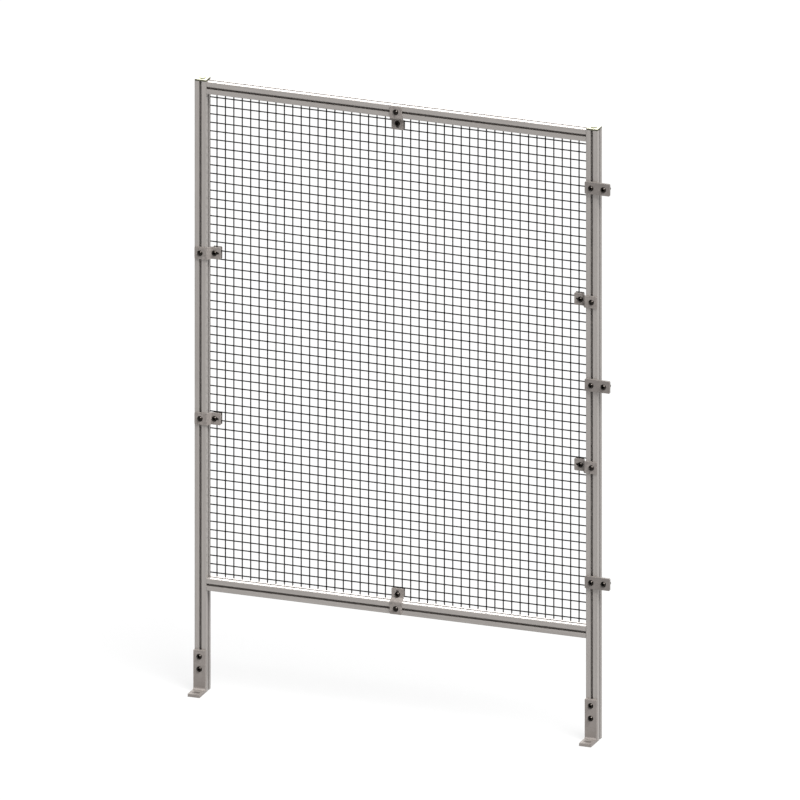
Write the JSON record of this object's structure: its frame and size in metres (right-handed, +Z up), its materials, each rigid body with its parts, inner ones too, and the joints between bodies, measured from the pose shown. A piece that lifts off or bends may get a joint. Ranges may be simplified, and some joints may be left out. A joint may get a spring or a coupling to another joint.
{
  "type": "machine guarding mesh fence panel",
  "caption": "Free-bolting fence panel: slotted extrusion posts on floor brackets, cross rails and a welded wire mesh held by joggled clamp clips, with plates to join the next panel.",
  "frame": {"origin": "on the sole of the left foot, on the centre line of the left post and 20 mm in front of the post's face", "axes": "+X along the fence to the right post, +Y to the back, +Z up"},
  "size_m": [1.403, 0.1, 2.0495],
  "materials": {
    "extrusion": "satin anodised",
    "end_cap": "moulded",
    "bracket": "zinc grey",
    "mesh_wire": "black powder coat",
    "screw": "black oxide"
  },
  "bodies": {
    "root": {"left_post": "extrusion", "right_post": "extrusion", "top_rail": "extrusion", "bottom_rail": "extrusion", "left_cap": "end_cap", "right_cap": "end_cap", "left_foot": "bracket", "right_foot": "bracket", "mesh_upright_wires": "mesh_wire", "mesh_cross_wires": "mesh_wire", "upper_left_clip": "bracket", "upper_left_clamp_plate": "bracket", "lower_left_clip": "bracket", "lower_left_clamp_plate": "bracket", "upper_right_clip": "bracket", "upper_right_clamp_plate": "bracket", "lower_right_clip": "bracket", "lower_right_clamp_plate": "bracket", "top_clip": "bracket", "top_clamp_plate": "bracket", "bottom_clip": "bracket", "bottom_clamp_plate": "bracket", "upper_joining_plate": "bracket", "middle_joining_plate": "bracket", "lower_joining_plate": "bracket"}
  },
  "joints": []
}
